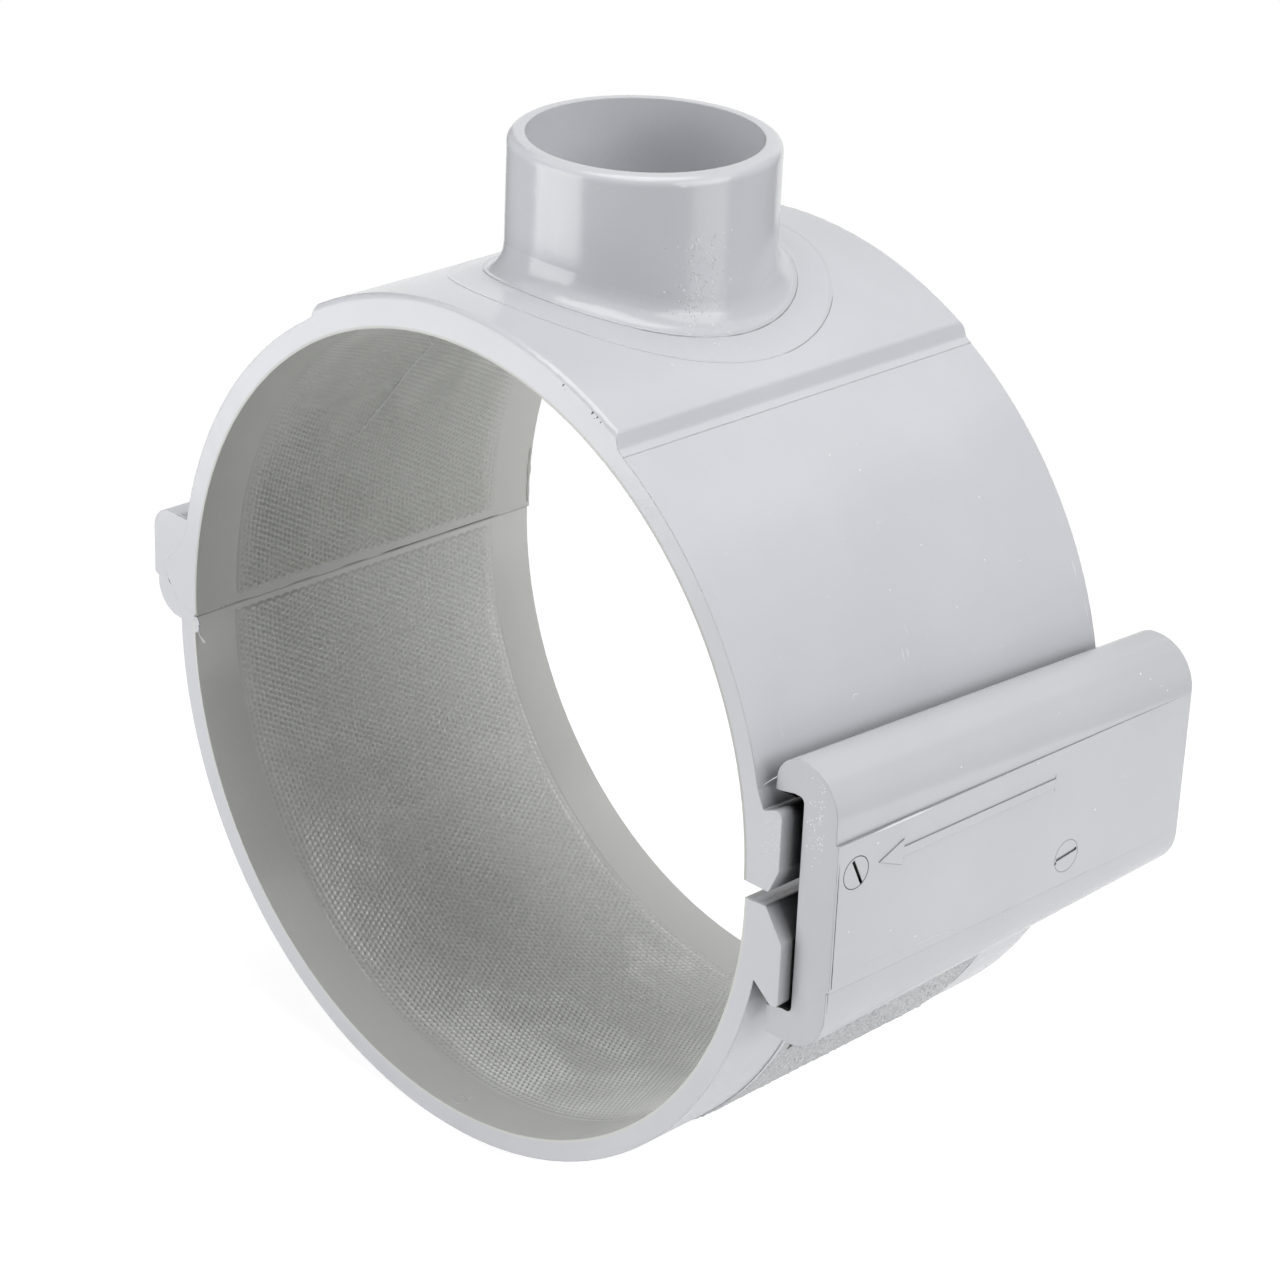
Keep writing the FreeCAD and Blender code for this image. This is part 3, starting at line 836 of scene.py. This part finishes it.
def add_ejector_mark(light, shell):
    """The ring that an ejector pin left near the bore's front edge, with a short line beside it."""
    ring = []
    for i in range(EJECTOR_CORNERS):
        turn = 2 * math.pi * i / EJECTOR_CORNERS
        aside = math.degrees(EJECTOR_RADIUS * MM * math.cos(turn) / LOWER_BORE_RADIUS)
        ring.append((EJECTOR_ANGLE + aside, EJECTOR_Y + EJECTOR_RADIUS * math.sin(turn)))
    raised_line("ejector_ring", in_lower_bore(ring), "lower_half", shell, width=0.4 * MM,
                height=0.09 * MM, closed=True)
    raised_line("ejector_tick", in_lower_bore(EJECTOR_TICK), "lower_half", light, width=0.35 * MM,
                height=0.10 * MM)


def add_bore_scratch(light):
    raised_line("scratch_bore", in_lower_bore(LOWER_SCRATCH, KNURL_RIDGE), "lower_half", light,
                width=0.3 * MM)


# Skins of flash on the front side, seen from the front: x and z in millimetres along both edges
TOOTH_EDGE = ((-87.2, 17.5), (-88.1, 13.1), (-95.45, 4.65), (-95.7, 3.95), (-95.5, 3.3),
              (-90.8, -2.95), (-84.9, -4.3))
HOOK_EDGE = ((-93.0, 17.5), (-90.3, 14.1), (-96.8, 5.5), (-97.2, 3.95), (-96.8, 2.5),
             (-91.8, -4.4), (-85.1, -5.8))
BURR_EDGE = ((-84.1, -4.7), (-83.75, -5.2), (-83.35, -6.0), (-83.7, -6.5), (-83.45, -7.2), (-84.0, -8.3))
RING_EDGE = ((-84.9, -4.7), (-84.9, -5.3), (-84.9, -6.0), (-84.9, -6.6), (-84.9, -7.3), (-84.9, -8.4))
FLASH_Y = FRONT_Y - 0.02 * MM
BURR_Y = FRONT_Y - 0.01 * MM

# Marks on the hook's flash and on the hook's top: places in millimetres
HOOK_LINE = ((-95.3, 4.9), (-92.5, 8.2), (-89.7, 11.4))
HOOK_MARK_HIGH = ((-95.2, 2.5), (-94.6, 1.6))
HOOK_MARK_LOW = ((-94.3, 1.3), (-93.8, 0.6), (-93.3, 0.0))
HOOK_TOP_Z = 17.6
HOOK_NOTCH = ((-89.5, -39.5), (-90.2, -38.5), (-91.0, -37.4))
HOOK_HAIR = (-93.5, -91.5, -89.6, -87.6)
HOOK_HAIR_INSET = 0.4


def front_skin(name, first_edge, second_edge, y, depth, body, material):
    """A thin plate across the front side between two edges with as many corners each."""
    points = []
    for layer in (y, y + depth):
        points += [(x * MM, layer, z * MM) for x, z in first_edge]
        points += [(x * MM, layer, z * MM) for x, z in second_edge]
    wide = len(first_edge)
    back = 2 * wide
    faces = []
    for i in range(wide - 1):
        faces.append((i, i + 1, wide + i + 1, wide + i))
        faces.append((back + i, back + wide + i, back + wide + i + 1, back + i + 1))
        faces.append((i, back + i, back + i + 1, i + 1))
        faces.append((wide + i, wide + i + 1, back + wide + i + 1, back + wide + i))
    faces.append((0, wide, back + wide, back))
    faces.append((wide - 1, back + wide - 1, back + 2 * wide - 1, 2 * wide - 1))
    add_piece(name, points, faces, body, material)


def add_hook_flash(shell, worn_and_glint, dark):
    """The thin skin of flash over the hook's gap on the front side, with marks on it."""
    front_skin("hook_flash", TOOTH_EDGE, HOOK_EDGE, FLASH_Y, 0.03 * MM, "lower_half", shell)
    front_skin("burr_front", BURR_EDGE, RING_EDGE, BURR_Y, 0.5 * MM, "lower_half", shell)
    forward = Vector((0, -1, 0))
    for name, places, width, material in (("hook_line_light", HOOK_LINE, 0.12, worn_and_glint),
                                          ("hook_mark_high", HOOK_MARK_HIGH, 0.30, dark),
                                          ("hook_mark_low", HOOK_MARK_LOW, 0.40, dark)):
        trail = [(Vector((x * MM, FLASH_Y, z * MM)), forward) for x, z in places]
        raised_line(name, trail, "lower_half", material, width * MM, height=0.02 * MM)
    upward = (0, 0, 1)
    notch = facing([(x, y, HOOK_TOP_Z) for x, y in HOOK_NOTCH], upward)
    raised_line("hook_notch", notch, "lower_half", dark, width=1.2 * MM, waver=0.3)
    hair = facing([(x, FRONT_Y / MM + HOOK_HAIR_INSET, HOOK_TOP_Z) for x in HOOK_HAIR], upward)
    raised_line("hook_top_hair", hair, "lower_half", worn_and_glint, width=0.28 * MM, height=0.06 * MM)


# The lower half's raised panel, as a field of cells, and the marks on it
LABEL_START = -27.0
LABEL_END = -60.0
LABEL_FRONT = -29.8 * MM
LABEL_REAR = 31.6 * MM
LABEL_CELL = 0.62 * MM
LABEL_RISE = 0.14 * MM
LABEL_GRAIN = 0.34 * MM
LABEL_GRAIN_SCALE = 0.75
LABEL_LOWEST = -0.4
LABEL_SINK = -0.05 * MM
LABEL_WALL = 5 * MM
LABEL_PIT = ((-28.6, -27),)
LABEL_EDGE = ((-27.3, 31.9), (-30.0, 32.0), (-33.0, 32.1), (-36.8, 32.2), (-41.0, 32.2))
LABEL_SHADOW_SPOT = ((-27.5, 30.4), (-28.4, 30.4), (-29.3, 30.4))
WORN_GRAIN_COUNT = 200


def add_label_texture(material):
    """A fine pebbled field on the lower half's raised panel."""
    radius = LOWER_BORE_RADIUS + LABEL_WALL
    columns = int(math.radians(LABEL_START - LABEL_END) * radius / LABEL_CELL)
    rows = int((LABEL_REAR - LABEL_FRONT) / LABEL_CELL)
    points = []
    for row in range(rows + 1):
        for column in range(columns + 1):
            angle = LABEL_START + (LABEL_END - LABEL_START) * column / columns
            y = LABEL_FRONT + (LABEL_REAR - LABEL_FRONT) * row / rows
            place, normal = outside("lower_saddle", angle, y, LOWER_BORE_Z)
            rim = row in (0, rows) or column in (0, columns)
            grain = noise.noise(Vector((column * LABEL_GRAIN_SCALE, row * LABEL_GRAIN_SCALE, 3.1)))
            rise = LABEL_SINK if rim else LABEL_RISE + LABEL_GRAIN * max(grain, LABEL_LOWEST)
            points.append(place + normal * rise)
    wide = columns + 1
    faces = []
    for row in range(rows):
        for column in range(columns):
            a = row * wide + column
            faces.append((a, a + 1, a + wide + 1, a + wide))
    add_piece("label_field", points, faces, "lower_half", material)


def add_label_marks(worn_and_glint, dark, shadow):
    """A dark pit at the panel's front corner, worn grains on it, and painted shade along the edge of its
    rear end and in a spot below the wedge.
    """
    pit = [(place, normal, 1.0 * MM, 0.06 * MM, 0.7)
           for place, normal in on_lower_shell(LABEL_PIT, 0.25 * MM)]
    domes("label_pit", pit, "lower_half", dark)
    chance = random.Random("label_grains")
    spots = []
    for _ in range(WORN_GRAIN_COUNT):
        angle = chance.uniform(LABEL_START - 1, LABEL_START - 14)
        y = chance.uniform(LABEL_FRONT, LABEL_REAR) * 0.9
        place, normal = outside("lower_saddle", angle, y, LOWER_BORE_Z)
        spots.append((place + normal * 0.2 * MM, normal, chance.uniform(0.25, 0.6) * MM, 0.12 * MM, 0.5))
    domes("label_grains", spots, "lower_half", worn_and_glint)
    # Painted shade along the panel's rear edge and below the wedge's rear end
    raised_line("label_end", on_lower_shell(LABEL_EDGE), "lower_half", shadow, width=0.30 * MM,
                height=0.08 * MM, waver=0.3)
    raised_line("label_notch", on_lower_shell(LABEL_SHADOW_SPOT, 0.3 * MM), "lower_half", shadow,
                width=1.6 * MM)


# Marks on the wedge's outer face: y and z in millimetres
PIN_CORNERS = 48
FRONT_PIN = (-41.2, 8.5, 3.4)
REAR_PIN = (22.0, -9.75, 3.5)
PANEL_LOW_LINE = ((-39.5, -12.9), (-32.0, -13.2), (-25.0, -13.6), (-17.6, -14.0), (-11.5, -14.6),
                  (-5.7, -15.2))
PANEL_HIGH_LINE = ((-37, 15.4), (-33, 15.4), (-29, 15.4), (-24, 15.4), (-20, 15.4))
WEDGE_SPECKS = ((10.4, 14.9), (-22.5, -12.0), (-35.5, 12.9), (44, 23.0), (46, 21.6), (48.5, 19.6),
                (50.2, 18.3), (-30, -8), (-12, 21), (5, -18), (38, 3), (30, -2), (-42, -4))
WEDGE_HAIR = ((88.8, -46.6, 24.0), (88.2, -47.3, 23.4), (87.7, -48.0, 22.8), (87.35, -48.6, 22.35))
PIN_SPOT = ((18.7, -10.5),)
ARROW_END = ((16.3, 6.6), (16.3, 8.6), (16.3, 10.6))
FRONT_FLECK_COUNT = 70
FRONT_LINE_Z = (12, 8.5, 4.4, 0, -2.9, -7, -10.9, -15.0, -16.2, -20.8)
FRONT_LINE_INSET = 0.55 * MM


def add_pin_ring(name, y, z, radius, material):
    """The circle round a slotted mark, a dark line of painted shade for its groove."""
    ring = []
    for i in range(PIN_CORNERS):
        turn = 2 * math.pi * i / PIN_CORNERS
        ring.append((y + radius * math.cos(turn), z + radius * math.sin(turn)))
    raised_line(name, on_wedge_face(ring), "wedge", material, width=0.26 * MM, closed=True)


def wedge_front_flecks(chance):
    """Flecks on the wedge's front face, near its upper corner."""
    spots = []
    for _ in range(FRONT_FLECK_COUNT):
        x = chance.uniform(97.0, 101.5) * MM
        z = chance.gauss(18, 5) * MM
        place, normal = from_front("locking_wedge", x, z)
        if place is None or place.y > WEDGE_FRONT_Y + FACE_MARGIN:
            continue
        spots.append((place, normal, chance.uniform(0.14, 0.30) * MM, MARK_RISE, 0.7))
    return spots


def add_wedge_marks(light, dark, shell, shadow):
    """Mould lines, specks, a hair and dark ends of marks on the wedge, with painted shade in the pin rings'
    grooves, painted shadow at the arrow's end and a painted highlight under the panel's upper step.
    """
    add_pin_ring("pin_ring_front", *FRONT_PIN, dark)
    add_pin_ring("pin_ring_rear", *REAR_PIN, shadow)
    raised_line("wedge_low_line", on_wedge_face(PANEL_LOW_LINE), "wedge", shell, width=0.40 * MM,
                height=0.07 * MM)
    # Painted highlight under the panel's upper step
    raised_line("wedge_high_line", on_wedge_face(PANEL_HIGH_LINE), "wedge", light, width=0.45 * MM,
                height=0.12 * MM)
    chance = random.Random("wedge_specks")
    spots = [(place, normal, chance.uniform(0.2, 0.4) * MM, 0.06 * MM, 0.7)
             for place, normal in on_wedge_face(WEDGE_SPECKS)]
    domes("wedge_specks", spots, "wedge", light)
    whisker("wedge_hair", WEDGE_HAIR, 0.12 * MM, "wedge", light)
    spot = [(place, normal, 0.6 * MM, MARK_RISE, 1.0) for place, normal in on_wedge_face(PIN_SPOT)]
    domes("pin_spot", spot, "wedge", dark)
    # Painted shadow at the arrow's end wall
    raised_line("arrow_end", on_wedge_face(ARROW_END), "wedge", dark, width=0.45 * MM)
    domes("wedge_front_flecks", wedge_front_flecks(chance), "wedge", light)
    edge = [from_right(WEDGE_FRONT_Y + FRONT_LINE_INSET, z * MM) for z in FRONT_LINE_Z]
    raised_line("wedge_front_line", edge, "wedge", dark, width=0.24 * MM, height=0.06 * MM, waver=0.2)


# Studio

def add_camera():
    azimuth = math.radians(CAMERA_AZIMUTH)
    elevation = math.radians(CAMERA_ELEVATION)
    roll = math.radians(CAMERA_ROLL)
    back = Vector((
        math.sin(azimuth) * math.cos(elevation),
        -math.cos(azimuth) * math.cos(elevation),
        math.sin(elevation),
    ))
    right = Vector((math.cos(azimuth), math.sin(azimuth), 0))
    up = back.cross(right)
    data = bpy.data.cameras.new("photo_camera")
    data.sensor_width = SENSOR_WIDTH
    data.lens = CAMERA_LENS
    data.clip_end = CAMERA_CLIP
    camera = bpy.data.objects.new("photo_camera", data)
    bpy.context.scene.collection.objects.link(camera)
    rolled_right = right * math.cos(roll) + up * math.sin(roll)
    rolled_up = up * math.cos(roll) - right * math.sin(roll)
    turn = Matrix((rolled_right, rolled_up, back)).transposed().to_4x4()
    place = right * AIM_RIGHT + up * AIM_UP + back * CAMERA_DISTANCE
    camera.matrix_world = Matrix.Translation(place) @ turn
    bpy.context.scene.camera = camera


def add_world():
    """White for the rays that see it. The lamps and the floor light the object."""
    world = bpy.data.worlds.new("studio")
    bpy.context.scene.world = world
    world.use_nodes = True
    tree = world.node_tree
    path = node(tree, "ShaderNodeLightPath").outputs
    seen = math_node(tree, "MAXIMUM", path["Is Camera Ray"], path["Is Glossy Ray"])
    seen = math_node(tree, "MAXIMUM", seen, path["Is Transmission Ray"])
    light = tree.nodes["Background"]
    light.inputs["Color"].default_value = (1, 1, 1, 1)
    tree.links.new(seen, light.inputs["Strength"])


def floor_material():
    """Pale floor. The camera sees it fade to the white of the surroundings, with the shadow kept."""
    material, tree = new_material("floor_pale")
    reach = node(tree, "ShaderNodeVectorMath", {0: object_place(tree)}, operation="LENGTH").outputs["Value"]
    edge = spread(tree, reach, FLOOR_CLEAR_RADIUS, FLOOR_RADIUS * FLOOR_WHITE_SHARE, 0, 1)
    matte = node(tree, "ShaderNodeBsdfDiffuse", {"Color": FLOOR_COLOUR})
    below = node(tree, "ShaderNodeEmission", {"Strength": FLOOR_LIGHT})
    matte = node(tree, "ShaderNodeAddShader", {0: matte.outputs[0], 1: below.outputs[0]})
    shadow = node(tree, "ShaderNodeBsdfDiffuse", {"Color": SHADOW_COLOUR})
    glow = node(tree, "ShaderNodeEmission", {"Strength": FLOOR_GLOW})
    lit = node(tree, "ShaderNodeAddShader", {0: shadow.outputs[0], 1: glow.outputs[0]})
    white = node(tree, "ShaderNodeEmission", {"Strength": 1.0})
    shown = node(tree, "ShaderNodeMixShader", {0: edge, 1: lit.outputs[0], 2: white.outputs[0]})
    seen = node(tree, "ShaderNodeLightPath").outputs["Is Camera Ray"]
    surface = node(tree, "ShaderNodeMixShader", {0: seen, 1: matte.outputs[0], 2: shown.outputs[0]})
    finish_material(tree, surface.outputs[0])
    return material


def add_floor():
    points = []
    for i in range(FLOOR_CORNERS):
        angle = 2 * math.pi * i / FLOOR_CORNERS
        points.append((FLOOR_RADIUS * math.cos(angle), FLOOR_RADIUS * math.sin(angle), 0))
    floor = mesh_object("floor", points, [list(range(FLOOR_CORNERS))])
    floor.location.z = cad_bounds[0][2]
    floor.data.materials.append(floor_material())


def turned(turn, elevation):
    """A direction by its turn from the camera's direction and its height above the horizon."""
    angle = math.radians(CAMERA_AZIMUTH - 90 + turn)
    lift = math.radians(elevation)
    return Vector((math.cos(angle) * math.cos(lift), math.sin(angle) * math.cos(lift), math.sin(lift)))


def add_curtain(name, start, end, colour):
    """A curtain round a part of the studio, which the camera itself does not see."""
    material, tree = new_material(name)
    matte = node(tree, "ShaderNodeBsdfDiffuse", {"Color": colour})
    finish_material(tree, matte.outputs[0])
    points = []
    for i in range(CURTAIN_STEPS + 1):
        out = turned(start + (end - start) * i / CURTAIN_STEPS, 0) * CURTAIN_RADIUS
        points += [(out.x, out.y, CURTAIN_BOTTOM), (out.x, out.y, CURTAIN_TOP)]
    faces = [(2 * i, 2 * i + 2, 2 * i + 3, 2 * i + 1) for i in range(CURTAIN_STEPS)]
    curtain = mesh_object(name, points, faces)
    curtain.data.materials.append(material)
    curtain.visible_camera = False


def add_lamp(name, turn, elevation, width, height, power):
    data = bpy.data.lights.new(name, "AREA")
    data.shape = "RECTANGLE"
    data.energy = power
    data.size = width
    data.size_y = height
    lamp = bpy.data.objects.new(name, data)
    lamp.location = turned(turn, elevation) * LAMP_DISTANCE
    lamp.rotation_euler = (-lamp.location).to_track_quat("-Z", "Y").to_euler()
    lamp.visible_camera = False
    bpy.context.scene.collection.objects.link(lamp)


add_camera()
add_world()
add_floor()
for name, values in CURTAINS.items():
    add_curtain(name, *values)
for name, values in LAMPS.items():
    add_lamp(name, *values)

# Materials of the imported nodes
upper_bore = (BORE_RADIUS, 0.0, BORE_COLOUR, FRONT_BAND_PAINTED_SHADE)
lower_bore = (LOWER_BORE_RADIUS, LOWER_BORE_Z, LOWER_BORE_LIT_COLOUR, 1.0)
node_materials = {
    "upper_saddle": moulded_plastic("pvc_upper", SHELL_COLOUR, upper_bore),
    "lower_saddle": moulded_plastic("pvc_lower", SHELL_COLOUR, lower_bore),
    "locking_wedge": moulded_plastic("pvc_wedge", WEDGE_COLOUR, pebble=0.7),
    "o_ring_seal": rubber(),
}
for name, material in node_materials.items():
    for slot in frame["nodes"][name].material_slots:
        slot.material = material

# Materials of the added pieces
upper_net = (BORE_RADIUS, 0.0)
lower_net = (LOWER_BORE_RADIUS, LOWER_BORE_Z)
bore_plastic = moulded_plastic("pvc_bore", BORE_COLOUR, net=upper_net, pebble=0.5, bevel=False)
lower_bore_plastic = moulded_plastic("pvc_bore_lower", LOWER_BORE_LIT_COLOUR, net=lower_net, pebble=0.5,
                                     bevel=False)
detail_plastic = moulded_plastic("pvc_detail", SHELL_COLOUR, pebble=0.4, bevel=False)
label_plastic = moulded_plastic("pvc_label", LABEL_COLOUR, bevel=False)
light_mark = mark_material("mark_light", LIGHT_MARK_COLOUR, 0.35)
worn_and_glint_mark = mark_material("mark_worn_and_glint", WORN_AND_GLINT_COLOUR, 0.25)
shade_mark = mark_material("mark_shade", SHADE_MARK_COLOUR, 0.5)
dark_mark = mark_material("mark_dark", DARK_MARK_COLOUR, 0.6)

# Pieces
add_knurls(bore_plastic, lower_bore_plastic)
add_parting_circles(detail_plastic, shade_mark)
add_outlet_pebbles(detail_plastic, worn_and_glint_mark)
add_shell_pebbles(detail_plastic)
add_lug_ripples(worn_and_glint_mark)
add_upper_nicks(light_mark)
add_front_pits(dark_mark)
add_rear_burr(bore_plastic)
add_seam(dark_mark)
add_bore_streak(light_mark)
add_whiskers(light_mark)
add_lower_specks(light_mark)
add_ejector_mark(light_mark, detail_plastic)
add_bore_scratch(light_mark)
add_hook_flash(detail_plastic, worn_and_glint_mark, dark_mark)
add_label_texture(label_plastic)
add_label_marks(worn_and_glint_mark, dark_mark, shade_mark)
add_wedge_marks(light_mark, dark_mark, detail_plastic, shade_mark)

bpy.context.scene.view_settings.view_transform = "Standard"
